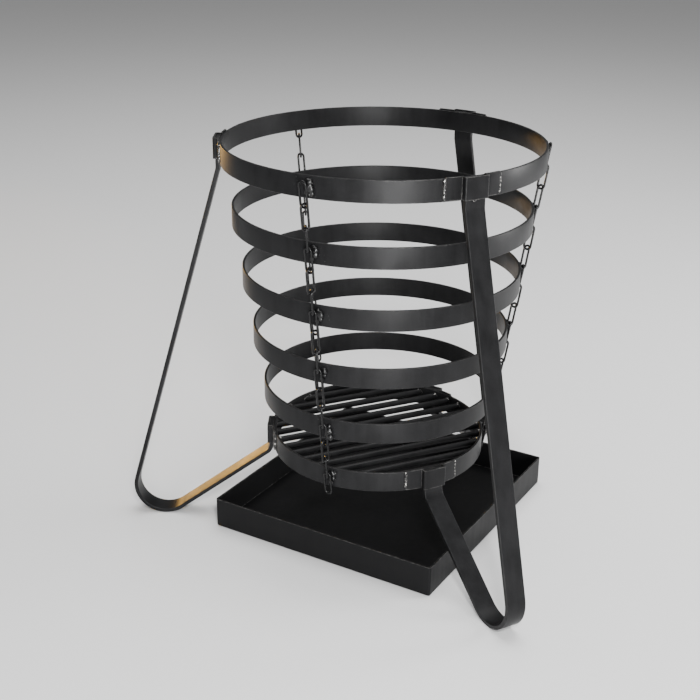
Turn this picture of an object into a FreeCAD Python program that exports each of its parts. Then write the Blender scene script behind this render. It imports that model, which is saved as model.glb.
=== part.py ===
import FreeCAD, Part
import math
import os
import Sketcher

# Garden fire pit: a basket of six hoops hung on three chains, carried by three bent flat-bar legs
# that push into sockets on the top and bottom hoops, with an ash pan on the ground below.
# Frame: Z is up and is the basket's axis, the ground is z = 0. Millimetres and degrees.

os.makedirs("parts", exist_ok=True)
doc = FreeCAD.newDocument("FirePit")
sheet = doc.addObject("Spreadsheet::Sheet", "Sizes")

DRIVING_DIMENSIONS = {
    # basket hoops: outside diameters, height of the rim and drop from each hoop to the next
    "rim_diameter": 386.0,
    "second_diameter": 362.0,
    "third_diameter": 340.0,
    "fourth_diameter": 316.5,
    "fifth_diameter": 291.5,
    "base_diameter": 269.0,
    "rim_height": 504.0,
    "second_drop": 76.5,
    "third_drop": 76.0,
    "fourth_drop": 75.0,
    "fifth_drop": 75.5,
    "base_drop": 70.0,
    "hoop_width": 25.0,
    "hoop_thickness": 3.0,
    "hoop_edge_round": 0.6,
    # chains
    "link_length": 33.0,
    "link_width": 11.0,
    "link_wire": 2.7,
    "link_drop": 20.5,
    "link_lean": 10.0,
    "link_standoff": 1.6,
    "link_twist": 60.0,
    "weld_size": 5.0,
    "weld_lift": 2.5,
    "weld_reach": 6.0,
    "chain_azimuth": 5.0,
    # legs
    "leg_width": 25.0,
    "leg_thickness": 5.0,
    "leg_edge_round": 0.8,
    "leg_splay": 16.0,
    "base_tab_length": 26.5,
    "tab_length": 33.0,
    "tab_bend_radius": 15.0,
    "foot_radius": 40.0,
    "base_bend_radius": 14.5,
    "left_leg_azimuth": 180.5,
    "front_leg_azimuth": -60.2,
    "back_leg_azimuth": 58.0,
    # leg sockets
    "socket_clearance": 0.5,
    "strap_thickness": 2.0,
    "strap_flange": 20.5,
    "strap_corner_round": 2.0,
    "socket_proud": 1.5,
    # grate
    "rod_diameter": 8.0,
    "rod_pitch": 20.6,
    "rod_drop": 3.5,
    "rod_azimuth": 26.0,
    # ash pan
    "pan_width": 313.0,
    "pan_length": 332.0,
    "pan_height": 39.5,
    "pan_sheet": 2.0,
    "pan_corner_round": 3.0,
    "pan_fold_radius": 2.5,
    "pan_offset_x": 9.3,
    "pan_offset_y": 24.1,
    "pan_azimuth": 61.0,
}

for row, (alias, value) in enumerate(DRIVING_DIMENSIONS.items(), start=1):
    sheet.set(f"A{row}", alias.replace("_", " "))
    sheet.set(f"B{row}", str(value))
    sheet.setAlias(f"B{row}", alias)
doc.recompute()


def size(alias):
    """Value of one driving dimension, as the sheet holds it."""
    return float(sheet.get(alias))


HOOPS = ["rim", "second", "third", "fourth", "fifth", "base"]
LEG_SIDES = ["left", "front", "back"]
CHAIN_COUNT = 3
FREE_LINKS = 2
ROD_COUNT = 13
Z_AXIS = FreeCAD.Vector(0, 0, 1)

# Expressions for heights that several parts share
HOOP_TOP = {}
level = "Sizes.rim_height"
for hoop_name in HOOPS:
    if hoop_name != "rim":
        level = f"{level} - Sizes.{hoop_name}_drop"
    HOOP_TOP[hoop_name] = level


def hoop_top(hoop_name):
    """Height of a hoop's top edge."""
    drops = [size(f"{name}_drop") for name in HOOPS[1:HOOPS.index(hoop_name) + 1]]
    return size("rim_height") - sum(drops)


def hoop_radius(hoop_name):
    """Outside radius of a hoop."""
    return size(f"{hoop_name}_diameter") / 2


def origin_feature(body, role):
    """One of a body's own origin planes or axes."""
    return next(item for item in body.Origin.OriginFeatures if item.Role == role)


def new_body(label):
    """A body whose label is also its node name."""
    body = doc.addObject("PartDesign::Body", label)
    body.Label = label
    return body


def new_sketch(body, name, role, offset=None):
    """A sketch on one of the body's origin planes."""
    sketch = body.newObject("Sketcher::SketchObject", name)
    sketch.AttachmentSupport = [(origin_feature(body, role), "")]
    sketch.MapMode = "FlatFace"
    if offset is not None:
        sketch.AttachmentOffset = offset
    return sketch


def bind_constraint(sketch, constraint, name, expression):
    """Add a dimension to a sketch and tie it to the sheet."""
    index = sketch.addConstraint(constraint)
    sketch.renameConstraint(index, name)
    sketch.setExpression(f"Constraints.{name}", expression)


def line(start, end):
    """A straight piece of sketch from one point to another."""
    return Part.LineSegment(FreeCAD.Vector(*start, 0), FreeCAD.Vector(*end, 0))


def arc(centre, radius, first_angle, last_angle):
    """An anticlockwise arc, its angles in degrees."""
    circle = Part.Circle(FreeCAD.Vector(*centre, 0), Z_AXIS, radius)
    return Part.ArcOfCircle(circle, math.radians(first_angle), math.radians(last_angle))


def rounded_rectangle(sketch, middle, width, height, radius, expressions):
    """A rectangle with round corners. The expressions give its left and bottom edges, width, height and radius."""
    left = middle[0] - width / 2
    right = middle[0] + width / 2
    bottom = middle[1] - height / 2
    top = middle[1] + height / 2
    sketch.addGeometry([
        line((left + radius, bottom), (right - radius, bottom)),
        arc((right - radius, bottom + radius), radius, 270, 360),
        line((right, bottom + radius), (right, top - radius)),
        arc((right - radius, top - radius), radius, 0, 90),
        line((right - radius, top), (left + radius, top)),
        arc((left + radius, top - radius), radius, 90, 180),
        line((left, top - radius), (left, bottom + radius)),
        arc((left + radius, bottom + radius), radius, 180, 270),
    ])
    for piece in range(8):
        after = (piece + 1) % 8
        sketch.addConstraint(Sketcher.Constraint("Tangent", piece, 2, after, 1))
    for flat, upright in ((0, 2), (4, 6)):
        sketch.addConstraint(Sketcher.Constraint("Horizontal", flat))
        sketch.addConstraint(Sketcher.Constraint("Vertical", upright))
    for corner in (3, 5, 7):
        sketch.addConstraint(Sketcher.Constraint("Equal", 1, corner))
    bind_constraint(sketch, Sketcher.Constraint("Radius", 1, radius), "corner", expressions["radius"])
    bind_constraint(sketch, Sketcher.Constraint("DistanceX", 6, 1, 2, 1, width), "width", expressions["width"])
    bind_constraint(sketch, Sketcher.Constraint("DistanceY", 0, 1, 4, 1, height), "height", expressions["height"])
    bind_constraint(sketch, Sketcher.Constraint("DistanceX", -1, 1, 6, 1, left), "left", expressions["left"])
    bind_constraint(sketch, Sketcher.Constraint("DistanceY", -1, 1, 0, 1, bottom), "bottom", expressions["bottom"])


def hoop(hoop_name):
    """A hoop of flat bar on edge, turned about the basket's axis."""
    body = new_body(f"{hoop_name}_hoop")
    sketch = new_sketch(body, f"{hoop_name}_hoop_section", "XZ_Plane")
    thickness = size("hoop_thickness")
    width = size("hoop_width")
    middle = (hoop_radius(hoop_name) - thickness / 2, -width / 2)
    rounded_rectangle(sketch, middle, thickness, width, size("hoop_edge_round"), {
        "left": f"Sizes.{hoop_name}_diameter / 2 - Sizes.hoop_thickness",
        "bottom": "-Sizes.hoop_width",
        "width": "Sizes.hoop_thickness",
        "height": "Sizes.hoop_width",
        "radius": "Sizes.hoop_edge_round",
    })
    turn = body.newObject("PartDesign::Revolution", f"{hoop_name}_hoop_turn")
    turn.Profile = sketch
    turn.ReferenceAxis = (sketch, ["V_Axis"])
    turn.Angle = 360
    body.setExpression("Placement.Base.z", HOOP_TOP[hoop_name])
    return body


def socket(hoop_name, side):
    """A strap bent round a leg's tab and welded by its flanges to the outside of a hoop."""
    label = f"{hoop_name}_socket_{side}"
    hoop_size = f"Sizes.{hoop_name}_diameter / 2"
    pocket_depth = "(Sizes.leg_thickness + 2 * Sizes.socket_clearance)"
    pocket_width = "(Sizes.leg_width + 2 * Sizes.socket_clearance)"
    strap_width = f"({pocket_width} + 2 * Sizes.strap_thickness)"
    flange_span = 2 * size("strap_flange") + size("leg_width") + 2 * size("socket_clearance")
    flange_angle = 2 * math.degrees(math.asin(flange_span / 2 / hoop_radius(hoop_name)))

    flange = doc.addObject("Part::Cylinder", f"{label}_flange")
    flange.setExpression("Radius", f"{hoop_size} + Sizes.strap_thickness")
    flange.setExpression("Height", "Sizes.hoop_width")
    flange.Angle = flange_angle
    flange.Placement.Rotation = FreeCAD.Rotation(Z_AXIS, -flange_angle / 2)

    cover = doc.addObject("Part::Box", f"{label}_cover")
    cover.setExpression("Length", f"{hoop_size} + {pocket_depth} + Sizes.strap_thickness")
    cover.setExpression("Width", strap_width)
    cover.setExpression("Height", "Sizes.hoop_width")
    cover.setExpression("Placement.Base.y", f"-{strap_width} / 2")

    bulk = doc.addObject("Part::Fuse", f"{label}_bulk")
    bulk.Base = flange
    bulk.Tool = cover

    hoop_space = doc.addObject("Part::Cylinder", f"{label}_hoop_space")
    hoop_space.setExpression("Radius", hoop_size)
    hoop_space.setExpression("Height", "Sizes.hoop_width")

    tab_space = doc.addObject("Part::Box", f"{label}_tab_space")
    tab_space.setExpression("Length", f"{hoop_size} + {pocket_depth}")
    tab_space.setExpression("Width", pocket_width)
    tab_space.setExpression("Height", "Sizes.hoop_width")
    tab_space.setExpression("Placement.Base.y", f"-{pocket_width} / 2")

    space = doc.addObject("Part::Fuse", f"{label}_space")
    space.Base = hoop_space
    space.Tool = tab_space

    strap = doc.addObject("Part::Cut", f"{label}_strap")
    strap.Base = bulk
    strap.Tool = space
    doc.recompute()

    bends = doc.addObject("Part::Fillet", label)
    bends.Base = strap
    outermost = strap.Shape.BoundBox.XMax
    bend_radius = size("strap_corner_round")
    edges = []
    for number, edge in enumerate(strap.Shape.Edges, start=1):
        box = edge.BoundBox
        if box.ZLength > box.DiagonalLength * 0.999 and box.XMin > outermost - 0.001:
            edges.append((number, bend_radius, bend_radius))
    bends.Edges = edges
    bends.Label = label
    azimuth = size(f"{side}_leg_azimuth")
    bends.Placement.Rotation = FreeCAD.Rotation(Z_AXIS, azimuth)
    bends.setExpression("Placement.Base.z", f"{HOOP_TOP[hoop_name]} - Sizes.hoop_width + Sizes.socket_proud")
    return bends


def leg_route():
    """Centre line of a leg in its own upright plane: straight pieces and arcs, each from its start to its end."""
    half = size("leg_thickness") / 2
    offset = size("socket_clearance") + half
    tab_r = hoop_radius("rim") + offset
    base_r = hoop_radius("base") + offset
    splay = math.radians(size("leg_splay"))
    bend = size("tab_bend_radius")
    foot = size("foot_radius") - half
    base_bend = size("base_bend_radius")
    foot_z = size("foot_radius")

    tab_top = size("rim_height")
    tab_end = tab_top - size("tab_length")
    strut_start = (tab_r + bend * (1 - math.cos(splay)), tab_end - bend * math.sin(splay))
    drop = strut_start[1] - foot_z
    foot_r = strut_start[0] + (drop * math.sin(splay) - foot) / math.cos(splay)
    strut_end = (foot_r + foot * math.cos(splay), foot_z + foot * math.sin(splay))
    base_centre = (base_r + base_bend, hoop_top("base") - size("base_tab_length"))
    # the return strut touches the foot's arc and the base bend's arc from below
    across = foot_r - base_centre[0]
    up = base_centre[1] - foot_z
    rise = math.acos((base_bend - foot) / math.hypot(across, up)) - math.atan2(across, up)
    rise_start = (foot_r - foot * math.sin(rise), foot_z - foot * math.cos(rise))
    rise_end = (base_centre[0] - base_bend * math.sin(rise), base_centre[1] - base_bend * math.cos(rise))
    foot_turn = -90 - math.degrees(rise)
    return {
        "tab": line((tab_r, tab_top), (tab_r, tab_end)),
        "tab_bend": arc((tab_r + bend, tab_end), bend, 180, 180 + math.degrees(splay)),
        "strut": line(strut_start, strut_end),
        "foot": arc((foot_r, foot_z), foot, foot_turn, math.degrees(splay)),
        "rise": line(rise_start, rise_end),
        "base_bend": arc(base_centre, base_bend, 180, 270 - math.degrees(rise)),
        "base_tab": line((base_r, base_centre[1]), (base_r, hoop_top("base"))),
    }


def leg(side):
    """One leg: a single flat bar with a tab at each end and a U-shaped foot."""
    label = f"leg_{side}"
    body = new_body(label)
    route = leg_route()
    path = new_sketch(body, f"{label}_route", "XZ_Plane")
    path.addGeometry(list(route.values()))
    joints = [(0, 2, 1, 1), (1, 2, 2, 1), (2, 2, 3, 2), (3, 1, 4, 1), (4, 2, 5, 2), (5, 1, 6, 1)]
    for joint in joints:
        path.addConstraint(Sketcher.Constraint("Tangent", *joint))
    path.addConstraint(Sketcher.Constraint("Vertical", 0))
    path.addConstraint(Sketcher.Constraint("Vertical", 6))
    offset = "Sizes.socket_clearance + Sizes.leg_thickness / 2"
    tab_r = route["tab"].StartPoint.x
    tab_top = route["tab"].StartPoint.y
    base_r = route["base_tab"].EndPoint.x
    base_top = route["base_tab"].EndPoint.y
    foot_z = size("foot_radius")
    bindings = [
        ("tab_radius", ("DistanceX", -1, 1, 0, 1, tab_r), f"Sizes.rim_diameter / 2 + {offset}"),
        ("tab_top", ("DistanceY", -1, 1, 0, 1, tab_top), "Sizes.rim_height"),
        ("tab_length", ("DistanceY", 0, 2, 0, 1, size("tab_length")), "Sizes.tab_length"),
        ("tab_bend", ("Radius", 1, size("tab_bend_radius")), "Sizes.tab_bend_radius"),
        ("foot_radius", ("Radius", 3, route["foot"].Radius), "Sizes.foot_radius - Sizes.leg_thickness / 2"),
        ("foot_height", ("DistanceY", -1, 1, 3, 3, foot_z), "Sizes.foot_radius"),
        ("base_bend", ("Radius", 5, size("base_bend_radius")), "Sizes.base_bend_radius"),
        ("base_radius", ("DistanceX", -1, 1, 6, 2, base_r), f"Sizes.base_diameter / 2 + {offset}"),
        ("base_top", ("DistanceY", -1, 1, 6, 2, base_top), HOOP_TOP["base"]),
        ("base_tab_length", ("DistanceY", 6, 1, 6, 2, size("base_tab_length")), "Sizes.base_tab_length"),
    ]
    for name, constraint, expression in bindings:
        bind_constraint(path, Sketcher.Constraint(*constraint), name, expression)

    bar = new_sketch(body, f"{label}_section", "XY_Plane")
    bar.setExpression("AttachmentOffset.Base.z", "Sizes.rim_height")
    thickness = size("leg_thickness")
    width = size("leg_width")
    rounded_rectangle(bar, (tab_r, 0), thickness, width, size("leg_edge_round"), {
        "left": "Sizes.rim_diameter / 2 + Sizes.socket_clearance",
        "bottom": "-Sizes.leg_width / 2",
        "width": "Sizes.leg_thickness",
        "height": "Sizes.leg_width",
        "radius": "Sizes.leg_edge_round",
    })
    doc.recompute()
    sweep = body.newObject("PartDesign::AdditivePipe", f"{label}_bar")
    sweep.Profile = bar
    sweep.Spine = (path, [f"Edge{number}" for number in range(1, len(route) + 1)])
    azimuth = size(f"{side}_leg_azimuth")
    body.Placement.Rotation = FreeCAD.Rotation(Z_AXIS, azimuth)
    return body


def welded_link_centre(hoop_name):
    """Radius and height of the middle of the link that is welded to a hoop."""
    lean = math.radians(size("link_lean"))
    above_edge = size("hoop_width") - size("link_drop")
    radius = (hoop_radius(hoop_name) + size("link_standoff") + size("link_wire") / 2 / math.cos(lean)
              + above_edge * math.tan(lean))
    return radius, hoop_top(hoop_name) - size("link_drop")


def link_row(label, centre, lean, twist, weld_to=None):
    """The same link on all three chains. A welded link has a bead that ends on the face of its hoop."""
    body = new_body(label)
    side_gap = (size("link_width") - size("link_wire")) / 2
    straight = (size("link_length") - size("link_width")) / 2
    turn = FreeCAD.Rotation(FreeCAD.Vector(1, 0, 0), lean) * FreeCAD.Rotation(FreeCAD.Vector(0, 1, 0), twist)
    place = FreeCAD.Placement(FreeCAD.Vector(0, centre[1], centre[0]), turn)
    path = new_sketch(body, f"{label}_route", "YZ_Plane", place)
    path.addGeometry([
        line((side_gap, -straight), (side_gap, straight)),
        arc((0, straight), side_gap, 0, 180),
        line((-side_gap, straight), (-side_gap, -straight)),
        arc((0, -straight), side_gap, 180, 360),
    ])
    for joint in ((0, 2, 1, 1), (1, 2, 2, 1), (2, 2, 3, 1), (3, 2, 0, 1)):
        path.addConstraint(Sketcher.Constraint("Tangent", *joint))
    path.addConstraint(Sketcher.Constraint("Equal", 1, 3))
    path.addConstraint(Sketcher.Constraint("PointOnObject", 1, 3, -2))
    path.addConstraint(Sketcher.Constraint("Symmetric", 0, 1, 0, 2, -1))
    bind_constraint(path, Sketcher.Constraint("Radius", 1, side_gap), "half_gap",
                    "(Sizes.link_width - Sizes.link_wire) / 2")
    bind_constraint(path, Sketcher.Constraint("DistanceY", 0, 1, 0, 2, 2 * straight), "straight",
                    "Sizes.link_length - Sizes.link_width")
    doc.recompute()

    wire = body.newObject("Sketcher::SketchObject", f"{label}_wire")
    wire.AttachmentSupport = [(path, "Edge1")]
    wire.MapMode = "NormalToEdge"
    wire.addGeometry(Part.Circle(FreeCAD.Vector(0, 0, 0), Z_AXIS, size("link_wire") / 2))
    wire.addConstraint(Sketcher.Constraint("Coincident", 0, 3, -1, 1))
    bind_constraint(wire, Sketcher.Constraint("Diameter", 0, size("link_wire")), "wire", "Sizes.link_wire")
    sweep = body.newObject("PartDesign::AdditivePipe", f"{label}_bent_wire")
    sweep.Profile = wire
    sweep.Spine = (path, ["Edge1", "Edge2", "Edge3", "Edge4"])
    repeated = [sweep]

    if weld_to is not None:
        spot = new_sketch(body, f"{label}_weld_spot", "YZ_Plane", place)
        weld_spot = FreeCAD.Vector(side_gap, size("weld_lift"), 0)
        spot.addGeometry(Part.Circle(weld_spot, Z_AXIS, size("weld_size") / 2))
        bind_constraint(spot, Sketcher.Constraint("Diameter", 0, size("weld_size")), "bead", "Sizes.weld_size")
        bind_constraint(spot, Sketcher.Constraint("DistanceY", -1, 1, 0, 3, size("weld_lift")), "lift",
                        "Sizes.weld_lift")
        bind_constraint(spot, Sketcher.Constraint("DistanceX", -1, 1, 0, 3, side_gap), "half_gap",
                        "(Sizes.link_width - Sizes.link_wire) / 2")
        bead = body.newObject("PartDesign::Pad", f"{label}_bead")
        bead.Profile = spot
        bead.Reversed = True
        bead.setExpression("Length", "Sizes.weld_reach")
        repeated.append(bead)

    row = body.newObject("PartDesign::PolarPattern", f"{label}_three_chains")
    row.Originals = repeated
    row.Axis = (origin_feature(body, "Z_Axis"), [""])
    row.Angle = 360
    row.Occurrences = CHAIN_COUNT
    body.Tip = row

    if weld_to is not None:
        inside = body.newObject("PartDesign::SubtractiveCylinder", f"{label}_hoop_face")
        inside.setExpression("Radius", f"Sizes.{weld_to}_diameter / 2")
        inside.setExpression("Height", "Sizes.rim_height")
        body.Tip = inside
    body.setExpression("Placement.Rotation.Angle", "Sizes.chain_azimuth")
    return body


def chain_rows():
    """Every row of links, from the rim down: one welded to each hoop and two free ones below it."""
    rows = []
    for index, hoop_name in enumerate(HOOPS):
        start = welded_link_centre(hoop_name)
        rows.append(link_row(f"{hoop_name}_welded_links", start, size("link_lean"), 0, weld_to=hoop_name))
        if hoop_name == HOOPS[-1]:
            continue
        end = welded_link_centre(HOOPS[index + 1])
        lean = math.degrees(math.atan2(start[0] - end[0], start[1] - end[1]))
        for number in range(1, FREE_LINKS + 1):
            share = number / (FREE_LINKS + 1)
            centre = tuple(first + share * (last - first) for first, last in zip(start, end))
            twist = number * size("link_twist")
            place_name = ("upper", "lower")[number - 1]
            rows.append(link_row(f"{hoop_name}_{place_name}_links", centre, lean, twist))
    return rows


def grate():
    """Round rods side by side across the base hoop, cut to its inner face."""
    inner_radius = "Sizes.base_diameter / 2 - Sizes.hoop_thickness"
    rods = []
    for number in range(ROD_COUNT):
        steps = number - (ROD_COUNT - 1) / 2
        rod = doc.addObject("Part::Cylinder", f"grate_rod_{number + 1}")
        rod.setExpression("Radius", "Sizes.rod_diameter / 2")
        rod.setExpression("Height", "Sizes.base_diameter")
        rod.Placement.Rotation = FreeCAD.Rotation(FreeCAD.Vector(0, 1, 0), 90)
        rod.setExpression("Placement.Base.x", "-Sizes.base_diameter / 2")
        rod.setExpression("Placement.Base.y", f"{steps} * Sizes.rod_pitch")
        rods.append(rod)
    row = doc.addObject("Part::MultiFuse", "grate_rods_uncut")
    row.Shapes = rods
    bore = doc.addObject("Part::Cylinder", "grate_outline")
    bore.setExpression("Radius", inner_radius)
    bore.setExpression("Height", "Sizes.hoop_width")
    bore.setExpression("Placement.Base.z", "-Sizes.hoop_width / 2")
    cut = doc.addObject("Part::Common", "grate_rods")
    cut.Base = row
    cut.Tool = bore
    cut.Label = "grate_rods"
    cut.Placement.Rotation = FreeCAD.Rotation(Z_AXIS, size("rod_azimuth"))
    cut.setExpression("Placement.Base.z", f"{HOOP_TOP['base']} - Sizes.rod_drop - Sizes.rod_diameter / 2")
    return cut


def ash_pan():
    """A folded sheet tray with rounded folds, open at the top."""
    body = new_body("ash_pan")
    width = size("pan_width")
    length = size("pan_length")
    sheet_thickness = size("pan_sheet")
    outline = new_sketch(body, "pan_outline", "XY_Plane")
    rounded_rectangle(outline, (0, 0), length, width, size("pan_corner_round"), {
        "left": "-Sizes.pan_length / 2",
        "bottom": "-Sizes.pan_width / 2",
        "width": "Sizes.pan_length",
        "height": "Sizes.pan_width",
        "radius": "Sizes.pan_corner_round",
    })
    block = body.newObject("PartDesign::Pad", "pan_block")
    block.Profile = outline
    block.setExpression("Length", "Sizes.pan_height")
    doc.recompute()

    outer_fold = body.newObject("PartDesign::Fillet", "pan_outer_fold")
    outer_fold.Base = (block, level_edges(block.Shape, 0))
    outer_fold.setExpression("Radius", "Sizes.pan_fold_radius")
    doc.recompute()

    inside = new_sketch(body, "pan_inside", "XY_Plane")
    inside.setExpression("AttachmentOffset.Base.z", "Sizes.pan_height")
    inner_length = length - 2 * sheet_thickness
    inner_width = width - 2 * sheet_thickness
    rounded_rectangle(inside, (0, 0), inner_length, inner_width, size("pan_corner_round") - sheet_thickness, {
        "left": "-Sizes.pan_length / 2 + Sizes.pan_sheet",
        "bottom": "-Sizes.pan_width / 2 + Sizes.pan_sheet",
        "width": "Sizes.pan_length - 2 * Sizes.pan_sheet",
        "height": "Sizes.pan_width - 2 * Sizes.pan_sheet",
        "radius": "Sizes.pan_corner_round - Sizes.pan_sheet",
    })
    hollow = body.newObject("PartDesign::Pocket", "pan_hollow")
    hollow.Profile = inside
    hollow.setExpression("Length", "Sizes.pan_height - Sizes.pan_sheet")
    azimuth = size("pan_azimuth")
    body.Placement.Rotation = FreeCAD.Rotation(Z_AXIS, azimuth)
    body.setExpression("Placement.Base.x", "Sizes.pan_offset_x")
    body.setExpression("Placement.Base.y", "Sizes.pan_offset_y")
    return body


def level_edges(shape, height):
    """Names of a shape's edges that lie at one height."""
    names = []
    for number, edge in enumerate(shape.Edges, start=1):
        box = edge.BoundBox
        if abs(box.ZMin - height) < 0.001 and abs(box.ZMax - height) < 0.001:
            names.append(f"Edge{number}")
    return names


def build():
    """Make every sub-part in order, from the rim down."""
    nodes = [hoop(hoop_name) for hoop_name in HOOPS]
    for side in LEG_SIDES:
        nodes.append(socket("rim", side))
        nodes.append(socket("base", side))
        nodes.append(leg(side))
    nodes.extend(chain_rows())
    nodes.append(grate())
    nodes.append(ash_pan())
    doc.recompute()
    return nodes


def write_parts(nodes):
    """Check the document and write one STEP file for each sub-part."""
    for item in doc.Objects:
        if "Invalid" in item.State or "Error" in item.State:
            raise RuntimeError(f"{item.Name} didn't build: {item.State}")
    for node in nodes:
        if node.Shape.isNull() or not node.Shape.isValid():
            raise RuntimeError(f"{node.Label} has no valid shape")
        node.Shape.exportStep(f"parts/{node.Label}.step")


write_parts(build())
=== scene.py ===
import math
import random

import bpy
from bpy.props import FloatProperty, FloatVectorProperty, IntProperty, PointerProperty
from mathutils import Matrix, Vector


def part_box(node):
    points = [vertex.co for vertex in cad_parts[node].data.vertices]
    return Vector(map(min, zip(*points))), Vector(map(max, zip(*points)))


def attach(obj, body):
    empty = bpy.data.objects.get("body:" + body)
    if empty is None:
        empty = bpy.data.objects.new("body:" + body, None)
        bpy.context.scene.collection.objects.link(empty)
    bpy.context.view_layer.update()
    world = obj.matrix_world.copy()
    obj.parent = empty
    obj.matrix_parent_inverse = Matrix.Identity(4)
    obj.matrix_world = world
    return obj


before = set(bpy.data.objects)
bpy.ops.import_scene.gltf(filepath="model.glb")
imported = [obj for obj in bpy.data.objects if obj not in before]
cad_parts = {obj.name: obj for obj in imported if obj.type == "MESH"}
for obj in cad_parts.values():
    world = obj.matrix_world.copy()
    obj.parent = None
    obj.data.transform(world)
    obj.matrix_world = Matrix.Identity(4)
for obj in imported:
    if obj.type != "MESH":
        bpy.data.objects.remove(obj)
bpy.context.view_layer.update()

bl_info = {
    "name": "Hanging Hoop Fire Pit",
    "version": (1, 0, 0),
    "blender": (4, 5, 0),
    "location": "View3D > Sidebar > Fire Pit",
    "description": "Adds weld beads, painted steel finishes and a studio to a hoop basket fire pit",
    "category": "Object",
}

MM = 0.001

HOOPS = ("rim", "second", "third", "fourth", "fifth", "base")
SOCKET_HOOPS = ("rim", "base")
LEG_AZIMUTHS = {"left": 180.5, "front": -60.2, "back": 58.0}
CHAIN_AZIMUTHS = (5.0, 125.0, -115.0)

CLOSE_DISTANCE = 0.01 * MM      # points of a CAD node nearer than this are one
CRISP_ANGLE = math.radians(32)  # edges sharper than this stay crisp
SMOOTH_ANGLE = math.radians(40)
FULL_TURN = 6.28


# ---------------------------------------------------------------- sizes and colours

class FirePitWelds(bpy.types.PropertyGroup):
    """Sizes of the weld beads."""
    seam_radius: FloatProperty(
        name="Seam radius", description="Half width of a seam along a socket's flange",
        default=1.7 * MM, min=0.5 * MM, max=4 * MM, unit="LENGTH")
    seam_step: FloatProperty(
        name="Seam step", description="Distance between the ripples of a seam",
        default=1.3 * MM, min=0.5 * MM, max=5 * MM, unit="LENGTH")
    flange_half_span: FloatProperty(
        name="Flange half span", description="From the middle of a socket to the end of its flange",
        default=33.5 * MM, min=10 * MM, max=60 * MM, unit="LENGTH")
    blob_radius: FloatProperty(
        name="Link blob radius", description="Size of the weld that holds a chain link to its hoop",
        default=5.2 * MM, min=1 * MM, max=10 * MM, unit="LENGTH")
    tack_radius: FloatProperty(
        name="Tack radius", description="Size of the tack on the front leg",
        default=1.9 * MM, min=0.5 * MM, max=5 * MM, unit="LENGTH")
    leg_face: FloatProperty(
        name="Leg face", description="From the rim's outside to a leg's outer face",
        default=5.6 * MM, min=1 * MM, max=20 * MM, unit="LENGTH")
    rod_blob_radius: FloatProperty(
        name="Rod blob radius", description="Size of the weld at the end of a grate rod",
        default=3.4 * MM, min=1 * MM, max=8 * MM, unit="LENGTH")
    spatter_count: IntProperty(
        name="Spatter", description="Weld spatter drops round each chain weld", default=7, min=0, max=40)


class FirePitGrate(bpy.types.PropertyGroup):
    """Layout of the grate's rods."""
    rod_count: IntProperty(name="Rods", description="Number of rods", default=13, min=1, max=40)
    rod_pitch: FloatProperty(
        name="Rod pitch", description="Distance from rod to rod",
        default=20.6 * MM, min=5 * MM, max=60 * MM, unit="LENGTH")
    rod_azimuth: FloatProperty(
        name="Rod direction", description="Direction that the rods run in",
        default=math.radians(26), subtype="ANGLE")


class FirePitFinish(bpy.types.PropertyGroup):
    """Colours of the steel."""
    paint: FloatVectorProperty(
        name="Paint", description="Heat-resistant paint on the bars", subtype="COLOR",
        default=(0.004, 0.004, 0.0043), min=0, max=1)
    paint_faded: FloatVectorProperty(
        name="Faded paint", description="Paint where it is dry and dusty", subtype="COLOR",
        default=(0.013, 0.013, 0.0137), min=0, max=1)
    # Edge colour: partly rubbed paint, partly a painted highlight standing in for light caught along the
    # edges.
    worn_edge_and_highlight: FloatVectorProperty(
        name="Worn edge and highlight", description="Edges where the paint has rubbed thin", subtype="COLOR",
        default=(0.24, 0.235, 0.225), min=0, max=1)
    bare_weld: FloatVectorProperty(
        name="Bare weld", description="Weld metal that shows through the paint", subtype="COLOR",
        default=(0.42, 0.41, 0.39), min=0, max=1)
    chain_paint: FloatVectorProperty(
        name="Chain", description="Paint on the chain links", subtype="COLOR",
        default=(0.003, 0.003, 0.0033), min=0, max=1)
    pan_paint: FloatVectorProperty(
        name="Pan", description="Paint on the ash pan", subtype="COLOR",
        default=(0.005, 0.005, 0.0053), min=0, max=1)


class FirePitStage(bpy.types.PropertyGroup):
    """Floor, light and camera."""
    floor: FloatVectorProperty(
        name="Floor", description="Floor colour", subtype="COLOR",
        default=(0.86, 0.86, 0.86), min=0, max=1)
    light_scale: FloatProperty(
        name="Lights", description="Scale of every light's power", default=1.0, min=0, max=10)
    sky: FloatProperty(
        name="Sky", description="Strength of the even light all round", default=0.25, min=0, max=3)
    lens: FloatProperty(name="Lens", description="Focal length in millimetres", default=62.26, min=10)
    camera_place: FloatVectorProperty(
        name="Camera", description="Where the camera stands", subtype="XYZ", unit="LENGTH",
        default=(0.0040, -1.4135, 0.8219))
    camera_yaw: FloatProperty(
        name="Yaw", description="Turn to the left", default=math.radians(1.67), subtype="ANGLE")
    camera_tilt: FloatProperty(
        name="Tilt", description="Tilt below level", default=math.radians(22.59), subtype="ANGLE")
    camera_roll: FloatProperty(
        name="Roll", description="Turn about the view", default=math.radians(0.61), subtype="ANGLE")


# ---------------------------------------------------------------- modelling helpers

def deselect_all():
    """Leave nothing selected."""
    bpy.ops.object.select_all(action="DESELECT")


def make_active(piece):
    """Select one object alone and make it active."""
    deselect_all()
    piece.select_set(True)
    bpy.context.view_layer.objects.active = piece


def apply_modifiers(piece):
    """Apply every modifier of a piece in order."""
    make_active(piece)
    for modifier in list(piece.modifiers):
        bpy.ops.object.modifier_apply(modifier=modifier.name)


def copy_piece(piece):
    """A copy with its own mesh."""
    twin = piece.copy()
    twin.data = piece.data.copy()
    bpy.context.scene.collection.objects.link(twin)
    return twin


def join_pieces(parts, name):
    """Join parts into one named piece at the origin, its place in its mesh."""
    deselect_all()
    for part in parts:
        part.select_set(True)
    bpy.context.view_layer.objects.active = parts[0]
    bpy.ops.object.join()
    piece = bpy.context.view_layer.objects.active
    bpy.ops.object.transform_apply(location=True, rotation=True, scale=True)
    piece.name = name
    piece.data.name = name
    return piece


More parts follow.
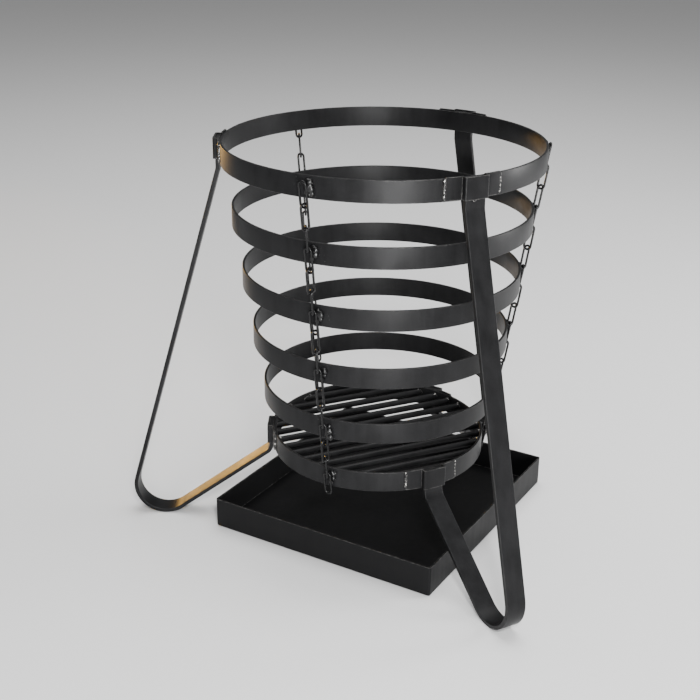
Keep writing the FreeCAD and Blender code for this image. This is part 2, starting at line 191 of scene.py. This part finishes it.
def finish_piece(piece, body, material):
    """Smooth a piece, give it its material and ride it on its body."""
    make_active(piece)
    bpy.ops.object.shade_smooth_by_angle(angle=SMOOTH_ANGLE)
    piece.data.materials.clear()
    piece.data.materials.append(material)
    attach(piece, body)
    deselect_all()


def cloud_texture(name, scale):
    """A procedural cloud for displacement."""
    texture = bpy.data.textures.new(name, type="CLOUDS")
    texture.noise_scale = scale
    return texture


def roughen(piece, scale, strength):
    """Push a piece's surface in and out by an uneven amount."""
    modifier = piece.modifiers.new("Uneven", "DISPLACE")
    modifier.texture = cloud_texture(f"{piece.name}_clouds", scale)
    modifier.texture_coords = "LOCAL"
    modifier.strength = strength
    modifier.mid_level = 0.5


def fuse_skin(piece, voxel):
    """Fuse overlapping shells into one skin."""
    modifier = piece.modifiers.new("Skin", "REMESH")
    modifier.mode = "VOXEL"
    modifier.voxel_size = voxel


def hoop_measures(hoop_name):
    """Outside radius, bottom and top of a hoop."""
    low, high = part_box(f"{hoop_name}_hoop")
    return (high[0] - low[0]) / 2, low[2], high[2]


def on_circle(radius, azimuth, height):
    """A point at a radius and azimuth (degrees) round the basket's axis."""
    turn = math.radians(azimuth)
    return Vector((radius * math.cos(turn), radius * math.sin(turn), height))


def place_at(piece, point, azimuth):
    """Move a piece to a point and turn its own X outwards along an azimuth in degrees."""
    piece.matrix_world = Matrix.Translation(point) @ Matrix.Rotation(math.radians(azimuth), 4, "Z")


# ---------------------------------------------------------------- shader groups

def new_group(name, inputs, outputs):
    """A shader node group with named inputs and outputs."""
    group = bpy.data.node_groups.new(name, "ShaderNodeTree")
    for label, kind, value in inputs:
        entry = group.interface.new_socket(name=label, in_out="INPUT", socket_type=f"NodeSocket{kind}")
        entry.default_value = value
    for label, kind in outputs:
        group.interface.new_socket(name=label, in_out="OUTPUT", socket_type=f"NodeSocket{kind}")
    start = group.nodes.new("NodeGroupInput")
    end = group.nodes.new("NodeGroupOutput")
    return group, start, end


def add_node(tree, kind, **settings):
    """Add a node. Settings whose names are inputs' names set their values."""
    node = tree.nodes.new(f"ShaderNode{kind}")
    for key, value in settings.items():
        if hasattr(node, key):
            setattr(node, key, value)
        else:
            node.inputs[key.replace("_", " ").title()].default_value = value
    return node


def add_math(tree, operation, first, second=None):
    """A math node. Each operand is a socket or a number."""
    node = tree.nodes.new("ShaderNodeMath")
    node.operation = operation
    for index, operand in enumerate((first, second)):
        if operand is None:
            continue
        if isinstance(operand, (int, float)):
            node.inputs[index].default_value = operand
        else:
            tree.links.new(operand, node.inputs[index])
    return node.outputs[0]


def add_mix(tree, factor, first, second):
    """Mix two colours. Each colour is a socket or four numbers."""
    node = tree.nodes.new("ShaderNodeMix")
    node.data_type = "RGBA"
    for index, operand in ((0, factor), (6, first), (7, second)):
        if hasattr(operand, "links"):
            tree.links.new(operand, node.inputs[index])
        else:
            node.inputs[index].default_value = operand
    return node.outputs[2]


def add_range(tree, value, low, high, to_low=0.0, to_high=1.0):
    """Map a value from one range to another, and clamp it."""
    node = tree.nodes.new("ShaderNodeMapRange")
    tree.links.new(value, node.inputs["Value"])
    node.inputs["From Min"].default_value = low
    node.inputs["From Max"].default_value = high
    node.inputs["To Min"].default_value = to_low
    node.inputs["To Max"].default_value = to_high
    return node.outputs["Result"]


def edge_wear_and_highlight_group():
    """Mask of the edges where paint has rubbed thin and where a painted highlight lightens them, broken up
    by noise.
    """
    group, start, end = new_group(
        "Edge Wear And Highlight",
        [("Width", "Float", 0.0012), ("Break Up", "Float", 180.0), ("Amount", "Float", 0.6)],
        [("Mask", "Float")])
    place = add_node(group, "TexCoord").outputs["Object"]
    geometry = add_node(group, "NewGeometry")
    bevel = add_node(group, "Bevel", samples=6)
    group.links.new(start.outputs["Width"], bevel.inputs["Radius"])
    dot = add_node(group, "VectorMath", operation="DOT_PRODUCT")
    group.links.new(bevel.outputs["Normal"], dot.inputs[0])
    group.links.new(geometry.outputs["Normal"], dot.inputs[1])
    turned = add_math(group, "SUBTRACT", 1.0, dot.outputs["Value"])
    edge = add_range(group, turned, 0.01, 0.16)
    noise = add_node(group, "TexNoise", detail=4.0, roughness=0.65)
    group.links.new(place, noise.inputs["Vector"])
    group.links.new(start.outputs["Break Up"], noise.inputs["Scale"])
    broken = add_range(group, noise.outputs["Fac"], 0.38, 0.64)
    mask = add_math(group, "MULTIPLY", edge, broken)
    group.links.new(add_math(group, "MULTIPLY", mask, start.outputs["Amount"]), end.inputs["Mask"])
    return group


def paint_mottle_group():
    """Soft clouds, fine specks and brush-like streaks in thin satin paint."""
    group, start, end = new_group(
        "Paint Mottle",
        [("Cloud Scale", "Float", 26.0), ("Speck Scale", "Float", 900.0), ("Streak Scale", "Float", 120.0)],
        [("Cloud", "Float"), ("Speck", "Float"), ("Streak", "Float"), ("Height", "Float")])
    place = add_node(group, "TexCoord").outputs["Object"]
    cloud = add_node(group, "TexNoise", detail=5.0, roughness=0.6)
    group.links.new(place, cloud.inputs["Vector"])
    group.links.new(start.outputs["Cloud Scale"], cloud.inputs["Scale"])
    speck = add_node(group, "TexNoise", detail=2.0, roughness=0.5)
    group.links.new(place, speck.inputs["Vector"])
    group.links.new(start.outputs["Speck Scale"], speck.inputs["Scale"])
    squeeze = add_node(group, "Mapping")
    squeeze.inputs["Scale"].default_value = (1.0, 1.0, 0.08)
    group.links.new(place, squeeze.inputs["Vector"])
    streak = add_node(group, "TexNoise", detail=3.0, roughness=0.6)
    group.links.new(squeeze.outputs["Vector"], streak.inputs["Vector"])
    group.links.new(start.outputs["Streak Scale"], streak.inputs["Scale"])
    group.links.new(add_range(group, cloud.outputs["Fac"], 0.35, 0.65), end.inputs["Cloud"])
    group.links.new(add_range(group, speck.outputs["Fac"], 0.35, 0.65), end.inputs["Speck"])
    group.links.new(add_range(group, streak.outputs["Fac"], 0.35, 0.65), end.inputs["Streak"])
    fine = add_math(group, "MULTIPLY", speck.outputs["Fac"], 0.6)
    height = add_math(group, "ADD", fine, add_math(group, "MULTIPLY", streak.outputs["Fac"], 0.4))
    group.links.new(height, end.inputs["Height"])
    return group


def use_group(tree, name, **values):
    """Place a shader group with its own values."""
    node = tree.nodes.new("ShaderNodeGroup")
    node.node_tree = bpy.data.node_groups[name]
    for key, value in values.items():
        node.inputs[key.replace("_", " ").title()].default_value = value
    return node


def new_material(name):
    """A node material, its tree and its shader."""
    material = bpy.data.materials.new(name)
    material.use_nodes = True
    tree = material.node_tree
    return material, tree, tree.nodes["Principled BSDF"]


def rgba(colour):
    """Four numbers from three."""
    return (*colour, 1.0)


def painted_steel(name, base, faded, edge, roughness, specular, edge_wear_highlight_amount=0.6):
    """Satin heat-resistant paint over steel, thin along the edges, whose light edge colour is also a
    painted highlight.
    """
    material, tree, shader = new_material(name)
    mottle = use_group(tree, "Paint Mottle", speck_scale=900.0)
    edge_wear_highlight_node = use_group(tree, "Edge Wear And Highlight", amount=edge_wear_highlight_amount)
    cloud = add_math(tree, "MULTIPLY", mottle.outputs["Cloud"], 0.55)
    speck = add_math(tree, "MULTIPLY", mottle.outputs["Speck"], 0.30)
    streak = add_math(tree, "MULTIPLY", mottle.outputs["Streak"], 0.35)
    together = add_math(tree, "ADD", add_math(tree, "ADD", cloud, speck), streak)
    dry = add_math(tree, "MULTIPLY", together, 0.8)
    colour = add_mix(tree, dry, rgba(base), rgba(faded))
    # Edges get a light colour: worn paint plus a painted highlight along each edge.
    colour = add_mix(tree, edge_wear_highlight_node.outputs["Mask"], colour, rgba(edge))
    tree.links.new(colour, shader.inputs["Base Color"])
    rough = add_range(tree, dry, 0.0, 1.0, roughness[0], roughness[1])
    tree.links.new(rough, shader.inputs["Roughness"])
    bumps = add_node(tree, "Bump", strength=0.25, distance=0.25 * MM)
    tree.links.new(mottle.outputs["Height"], bumps.inputs["Height"])
    tree.links.new(bumps.outputs["Normal"], shader.inputs["Normal"])
    shader.inputs["Specular IOR Level"].default_value = specular
    return material


def weld_metal(name, bare, paint, paint_share):
    """Weld metal with rippled gloss, partly under thin paint."""
    material, tree, shader = new_material(name)
    place = add_node(tree, "TexCoord").outputs["Object"]
    patches = add_node(tree, "TexNoise", scale=420.0, detail=3.0, roughness=0.6)
    tree.links.new(place, patches.inputs["Vector"])
    covered = add_range(tree, patches.outputs["Fac"], 0.60 - paint_share * 0.2, 0.66 - paint_share * 0.2)
    colour = add_mix(tree, covered, rgba(paint), rgba(bare))
    tree.links.new(colour, shader.inputs["Base Color"])
    tree.links.new(add_range(tree, covered, 0.0, 1.0, 0.25, 0.9), shader.inputs["Metallic"])
    tree.links.new(add_range(tree, patches.outputs["Fac"], 0.3, 0.7, 0.22, 0.4), shader.inputs["Roughness"])
    bumps = add_node(tree, "Bump", strength=0.4, distance=0.4 * MM)
    tree.links.new(patches.outputs["Fac"], bumps.inputs["Height"])
    tree.links.new(bumps.outputs["Normal"], shader.inputs["Normal"])
    return material


# ---------------------------------------------------------------- operators: finishes

class FIREPIT_OT_materials(bpy.types.Operator):
    """Build the paints and the weld metal"""
    bl_idname = "firepit.materials"
    bl_label = "Build Materials"

    def execute(self, context):
        finish = context.scene.firepit_finish
        edge_wear_and_highlight_group()
        paint_mottle_group()
        painted_steel("Bar Paint", finish.paint, finish.paint_faded, finish.worn_edge_and_highlight, (0.34, 0.46),
                      specular=0.13)
        painted_steel("Chain Paint", finish.chain_paint, finish.paint, finish.worn_edge_and_highlight, (0.18, 0.28),
                      specular=0.25, edge_wear_highlight_amount=0.15)
        painted_steel("Grate Paint", finish.paint, finish.paint_faded, finish.worn_edge_and_highlight, (0.36, 0.52),
                      specular=0.16)
        painted_steel("Pan Paint", finish.pan_paint, finish.paint, finish.worn_edge_and_highlight, (0.42, 0.55),
                      specular=0.12, edge_wear_highlight_amount=0.5)
        weld_metal("Seam Weld", finish.bare_weld, finish.paint, 0.35)
        weld_metal("Link Weld", finish.bare_weld, finish.chain_paint, -0.3)
        weld_metal("Rod Weld", finish.bare_weld, finish.paint, 0.5)
        return {"FINISHED"}


class FIREPIT_OT_frame_finish(bpy.types.Operator):
    """Give the hoops, sockets, legs, links, rods and pan their paint and smooth their shading"""
    bl_idname = "firepit.frame_finish"
    bl_label = "Paint the Frame"

    paints = (("links", "Chain Paint"), ("grate", "Grate Paint"), ("pan", "Pan Paint"))

    def execute(self, context):
        for name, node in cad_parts.items():
            paint = next((paint for word, paint in self.paints if word in name), "Bar Paint")
            node.data.materials.clear()
            node.data.materials.append(bpy.data.materials[paint])
            node.data.polygons.foreach_set("use_smooth", [True] * len(node.data.polygons))
            weld = node.modifiers.new("Close", "WELD")
            weld.merge_threshold = CLOSE_DISTANCE
            split = node.modifiers.new("Crisp Edges", "EDGE_SPLIT")
            split.split_angle = CRISP_ANGLE
        return {"FINISHED"}


# ---------------------------------------------------------------- operators: welds

SEAM_SQUASH = (1.0, 1.0, 0.85)
RIPPLE_TILT = math.radians(14)
SEAM_VOXEL = 0.35 * MM
SEAM_CLOUD = 5 * MM
SEAM_UNEVEN = 0.7 * MM
BLOB_CLOUD_SHARE = 0.9          # a lump's unevenness, as a share of its radius


def seam_master(length, radius, step):
    """One upright weld seam with ripples, its middle at the origin."""
    deselect_all()
    bpy.ops.mesh.primitive_uv_sphere_add(segments=16, ring_count=10, radius=radius, location=(0, 0, 0))
    seam = bpy.context.active_object
    seam.name = "seam_master"
    bpy.ops.object.mode_set(mode="EDIT")
    bpy.ops.transform.resize(value=SEAM_SQUASH)
    bpy.ops.transform.rotate(value=RIPPLE_TILT, orient_axis="Y", center_override=(0, 0, 0))
    bpy.ops.object.mode_set(mode="OBJECT")
    count = max(2, int(round((length - radius) / step)))
    row = seam.modifiers.new("Ripples", "ARRAY")
    row.count = count
    row.use_relative_offset = False
    row.use_constant_offset = True
    row.constant_offset_displace = (0, 0, step)
    apply_modifiers(seam)
    seam.location = (0, 0, -(count - 1) * step / 2)
    bpy.ops.object.transform_apply(location=True, rotation=True, scale=True)
    fuse_skin(seam, SEAM_VOXEL)
    roughen(seam, SEAM_CLOUD, SEAM_UNEVEN)
    apply_modifiers(seam)
    return seam


def blob_master(name, radius, squash, uneven):
    """One lump of weld metal at the origin, flattened along X."""
    deselect_all()
    bpy.ops.mesh.primitive_ico_sphere_add(subdivisions=4, radius=radius, location=(0, 0, 0))
    blob = bpy.context.active_object
    blob.name = name
    bpy.ops.object.mode_set(mode="EDIT")
    bpy.ops.transform.resize(value=squash)
    bpy.ops.object.mode_set(mode="OBJECT")
    roughen(blob, radius * BLOB_CLOUD_SHARE, uneven)
    apply_modifiers(blob)
    return blob


class FIREPIT_OT_socket_welds(bpy.types.Operator):
    """Run a weld seam with a lump at its top down each end of every socket"""
    bl_idname = "firepit.socket_welds"
    bl_label = "Weld the Sockets"

    corner_shift = 0.25         # degrees past the flange's end
    seam_margin = 2 * MM
    crown_share = 1.25
    crown_squash = (0.8, 1.0, 1.2)
    crown_uneven = 0.5 * MM
    seam_drop = 0.6 * MM
    seam_proud = 0.7 * MM
    crown_drop = 2.4 * MM

    def execute(self, context):
        welds = context.scene.firepit_welds
        for hoop_name in SOCKET_HOOPS:
            radius, bottom, top = hoop_measures(hoop_name)
            master = seam_master(top - bottom - self.seam_margin, welds.seam_radius, welds.seam_step)
            crown = blob_master("crown_master", self.crown_share * welds.seam_radius,
                                self.crown_squash, self.crown_uneven)
            end_turn = math.degrees(math.asin(welds.flange_half_span / radius))
            for side, azimuth in LEG_AZIMUTHS.items():
                low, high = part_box(f"{hoop_name}_socket_{side}")
                middle = (low[2] + high[2]) / 2
                parts = []
                for direction in (-1, 1):
                    turn = azimuth + direction * (end_turn + self.corner_shift)
                    spots = ((master, middle - self.seam_drop), (crown, top - self.crown_drop))
                    for shape, height in spots:
                        bead = copy_piece(shape)
                        place_at(bead, on_circle(radius + self.seam_proud, turn, height), turn)
                        parts.append(bead)
                piece = join_pieces(parts, f"{hoop_name}_socket_{side}_welds")
                finish_piece(piece, hoop_name, bpy.data.materials["Seam Weld"])
            bpy.data.objects.remove(crown)
            bpy.data.objects.remove(master)
        return {"FINISHED"}


class FIREPIT_OT_leg_tack(bpy.types.Operator):
    """Leave a small tack of weld on the front leg, just under the rim's socket"""
    bl_idname = "firepit.leg_tack"
    bl_label = "Tack the Front Leg"

    aside = -1.5 * MM
    below = 1.6 * MM
    squash = (0.6, 1.0, 0.75)
    uneven = 0.4 * MM

    def execute(self, context):
        welds = context.scene.firepit_welds
        tack = blob_master("leg_front_tack", welds.tack_radius, self.squash, self.uneven)
        low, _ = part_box("rim_socket_front")
        reach = hoop_measures("rim")[0] + welds.leg_face
        turn = LEG_AZIMUTHS["front"] + math.degrees(self.aside / reach)
        place_at(tack, on_circle(reach, turn, low[2] - self.below), turn)
        make_active(tack)
        bpy.ops.object.transform_apply(location=True, rotation=True, scale=True)
        finish_piece(tack, "legs", bpy.data.materials["Seam Weld"])
        return {"FINISHED"}


class FIREPIT_OT_link_welds(bpy.types.Operator):
    """Weld one link of each chain to each hoop with an uneven blob and some spatter"""
    bl_idname = "firepit.link_welds"
    bl_label = "Weld the Chains"

    proud = 1.6 * MM
    lump_squash = (0.62, 0.9, 1.0)
    lump_uneven = 1.5 * MM
    drop_radius = 0.6 * MM
    drop_squash = (0.6, 1.0, 1.0)
    drop_uneven = 0.2 * MM
    drop_proud = 0.1 * MM
    drop_across = (-14, 18)     # millimetres to the sides of the chain
    drop_below = (2, 23)        # millimetres under the hoop's top
    drop_sizes = (0.5, 1.2)
    # how far each weld's middle is to one side of its chain and below its hoop's top, then its
    # lumps: across, up (millimetres) and share of the full size
    blobs = {
        "rim": (6.4, 12.0, ((0, -1, 1.15), (-1, 5, 0.85), (1.5, -6, 0.85), (-2.5, -4, 0.7))),
        "second": (6.0, 10.5, ((0, 2, 0.95), (0.5, -3, 0.75), (-1.5, 5, 0.55))),
        "third": (6.0, 11.0, ((0, 1, 1.0), (1, -4, 0.75), (-1.5, 5, 0.6))),
        "fourth": (5.8, 9.5, ((0, 1, 0.8), (0, -4, 0.55))),
        "fifth": (6.2, 15.0, ((0, 0, 0.85), (-0.5, 6, 0.6), (0.5, -7, 0.9))),
        "base": (4.5, 8.0, ((0, 1, 0.8), (3, 2, 0.6), (1, -5, 0.7), (-1, -10, 0.5))),
    }

    def execute(self, context):
        welds = context.scene.firepit_welds
        draw = random.Random(7)
        master = blob_master("blob_master", welds.blob_radius, self.lump_squash, self.lump_uneven)
        drop_master = blob_master("spatter_master", self.drop_radius, self.drop_squash, self.drop_uneven)
        for hoop_name in HOOPS:
            radius, _, top = hoop_measures(hoop_name)
            parts = []
            beside, below, lumps = self.blobs[hoop_name]
            for azimuth in CHAIN_AZIMUTHS:
                for across, up, share in lumps:
                    size = share * draw.uniform(0.9, 1.1)
                    turn = azimuth + math.degrees((beside + across) * MM / radius)
                    lump = copy_piece(master)
                    height = top - (below - up) * MM
                    place_at(lump, on_circle(radius + self.proud, turn, height), turn)
                    roll = Matrix.Rotation(draw.uniform(0, FULL_TURN), 4, "X")
                    lump.matrix_world = lump.matrix_world @ roll
                    lump.matrix_world = lump.matrix_world @ Matrix.Scale(size, 4)
                    parts.append(lump)
                for _ in range(welds.spatter_count):
                    turn = azimuth + math.degrees(draw.uniform(*self.drop_across) * MM / radius)
                    height = top - draw.uniform(*self.drop_below) * MM
                    drop = copy_piece(drop_master)
                    place_at(drop, on_circle(radius + self.drop_proud, turn, height), turn)
                    size = draw.uniform(*self.drop_sizes)
                    drop.matrix_world = drop.matrix_world @ Matrix.Scale(size, 4)
                    parts.append(drop)
            piece = join_pieces(parts, f"{hoop_name}_link_welds")
            finish_piece(piece, hoop_name, bpy.data.materials["Link Weld"])
        bpy.data.objects.remove(master)
        bpy.data.objects.remove(drop_master)
        return {"FINISHED"}


class FIREPIT_OT_rod_welds(bpy.types.Operator):
    """Weld both ends of each grate rod to the base hoop"""
    bl_idname = "firepit.rod_welds"
    bl_label = "Weld the Grate"

    hoop_thickness = 3.0 * MM
    squash = (0.7, 1.0, 0.8)
    uneven = 1.3 * MM
    inset = 0.8 * MM
    below = (0.6, 2.2)          # millimetres under the rods' top
    sizes = (0.7, 1.15)

    def execute(self, context):
        welds = context.scene.firepit_welds
        grate = context.scene.firepit_grate
        draw = random.Random(11)
        radius, _, _ = hoop_measures("base")
        inner = radius - self.hoop_thickness
        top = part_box("grate_rods")[1][2]
        master = blob_master("rod_blob_master", welds.rod_blob_radius, self.squash, self.uneven)
        parts = []
        for number in range(grate.rod_count):
            offset = (number - (grate.rod_count - 1) / 2) * grate.rod_pitch
            reach = math.sqrt(inner ** 2 - offset ** 2)
            for direction in (-1, 1):
                turn = math.degrees(math.atan2(offset, direction * reach) + grate.rod_azimuth)
                blob = copy_piece(master)
                height = top - draw.uniform(*self.below) * MM
                place_at(blob, on_circle(inner - self.inset, turn, height), turn)
                blob.matrix_world = blob.matrix_world @ Matrix.Rotation(draw.uniform(0, FULL_TURN), 4, "X")
                blob.matrix_world = blob.matrix_world @ Matrix.Scale(draw.uniform(*self.sizes), 4)
                parts.append(blob)
        piece = join_pieces(parts, "grate_rod_welds")
        finish_piece(piece, "base", bpy.data.materials["Rod Weld"])
        bpy.data.objects.remove(master)
        return {"FINISHED"}


# ---------------------------------------------------------------- operators: stage

class FIREPIT_OT_stage(bpy.types.Operator):
    """Lay a pale floor, hang soft lights and set up the camera"""
    bl_idname = "firepit.stage"
    bl_label = "Build the Stage"

    # name, place, aim, size, power, colour, spread in degrees
    lights = (
        ("key", (0.30, -2.0, 0.30), (0.0, 0.0, 0.25), 0.6, 55.0, (1.0, 1.0, 1.0), 180),
        ("flash", (0.15, -1.5, 1.25), (0.0, 0.0, 0.25), 0.2, 20.0, (1.0, 1.0, 1.0), 180),
        ("top", (0.2, 0.6, 2.8), (0.0, 0.3, 0.0), 2.4, 85.0, (1.0, 1.0, 1.0), 180),
        ("right", (1.9, 0.3, 0.5), (0.0, 0.0, 0.3), 0.6, 30.0, (1.0, 1.0, 1.0), 180),
        ("warm_left", (-1.3, 1.9, 0.25), (0.0, 0.0, 0.3), 0.4, 0.7, (1.0, 0.55, 0.12), 24),
    )

    floor_size = 14
    floor_gap = 0.2 * MM
    sensor_width = 36

    def execute(self, context):
        stage = context.scene.firepit_stage
        self.floor(stage)
        for name, place, aim, size, power, colour, spread in self.lights:
            self.light(name, place, aim, size, power * stage.light_scale, colour, spread)
        self.world(stage)
        self.camera(context, stage)
        return {"FINISHED"}

    def floor(self, stage):
        deselect_all()
        bpy.ops.mesh.primitive_plane_add(size=self.floor_size, location=(0, 0, -self.floor_gap))
        floor = bpy.context.active_object
        floor.name = "floor"
        material, _, shader = new_material("Floor")
        shader.inputs["Base Color"].default_value = rgba(stage.floor)
        shader.inputs["Roughness"].default_value = 0.7
        floor.data.materials.append(material)

    def light(self, name, place, aim, size, power, colour, spread):
        data = bpy.data.lights.new(name, "AREA")
        data.shape = "SQUARE"
        data.size = size
        data.energy = power
        data.color = colour
        data.spread = math.radians(spread)
        lamp = bpy.data.objects.new(name, data)
        lamp.visible_camera = False
        bpy.context.scene.collection.objects.link(lamp)
        lamp.location = place
        direction = Vector(aim) - Vector(place)
        lamp.rotation_euler = direction.to_track_quat("-Z", "Y").to_euler()

    def world(self, stage):
        world = bpy.data.worlds.new("Studio")
        world.use_nodes = True
        background = world.node_tree.nodes["Background"]
        background.inputs["Color"].default_value = (1.0, 1.0, 1.0, 1.0)
        background.inputs["Strength"].default_value = stage.sky
        bpy.context.scene.world = world

    def camera(self, context, stage):
        data = bpy.data.cameras.new("camera")
        data.sensor_width = self.sensor_width
        data.lens = stage.lens
        camera = bpy.data.objects.new("camera", data)
        context.scene.collection.objects.link(camera)
        turn = (Matrix.Rotation(stage.camera_yaw, 4, "Z")
                @ Matrix.Rotation(math.pi / 2 - stage.camera_tilt, 4, "X")
                @ Matrix.Rotation(stage.camera_roll, 4, "Z"))
        camera.matrix_world = Matrix.Translation(Vector(stage.camera_place)) @ turn
        context.scene.camera = camera


# ---------------------------------------------------------------- panel and registration

STEPS = (
    FIREPIT_OT_materials,
    FIREPIT_OT_frame_finish,
    FIREPIT_OT_socket_welds,
    FIREPIT_OT_leg_tack,
    FIREPIT_OT_link_welds,
    FIREPIT_OT_rod_welds,
    FIREPIT_OT_stage,
)
GROUPS = {
    "firepit_welds": FirePitWelds,
    "firepit_grate": FirePitGrate,
    "firepit_finish": FirePitFinish,
    "firepit_stage": FirePitStage,
}


class FIREPIT_PT_panel(bpy.types.Panel):
    """Sidebar panel with every step in order"""
    bl_idname = "FIREPIT_PT_panel"
    bl_label = "Fire Pit"
    bl_space_type = "VIEW_3D"
    bl_region_type = "UI"
    bl_category = "Fire Pit"

    def draw(self, context):
        for step in STEPS:
            self.layout.operator(step.bl_idname)
        for name, group in GROUPS.items():
            box = self.layout.box()
            box.label(text=group.__name__)
            for entry in group.__annotations__:
                box.prop(getattr(context.scene, name), entry)


def register():
    """Register the classes and hang the settings on the scene."""
    for group in GROUPS.values():
        bpy.utils.register_class(group)
    for step in STEPS:
        bpy.utils.register_class(step)
    bpy.utils.register_class(FIREPIT_PT_panel)
    for name, group in GROUPS.items():
        setattr(bpy.types.Scene, name, PointerProperty(type=group))


def unregister():
    """Undo register."""
    for name in GROUPS:
        delattr(bpy.types.Scene, name)
    bpy.utils.unregister_class(FIREPIT_PT_panel)
    for step in reversed(STEPS):
        bpy.utils.unregister_class(step)
    for group in reversed(list(GROUPS.values())):
        bpy.utils.unregister_class(group)


def main():
    """Build everything in order."""
    register()
    for step in STEPS:
        group, name = step.bl_idname.split(".")
        getattr(getattr(bpy.ops, group), name)()


if __name__ == "__main__":
    main()
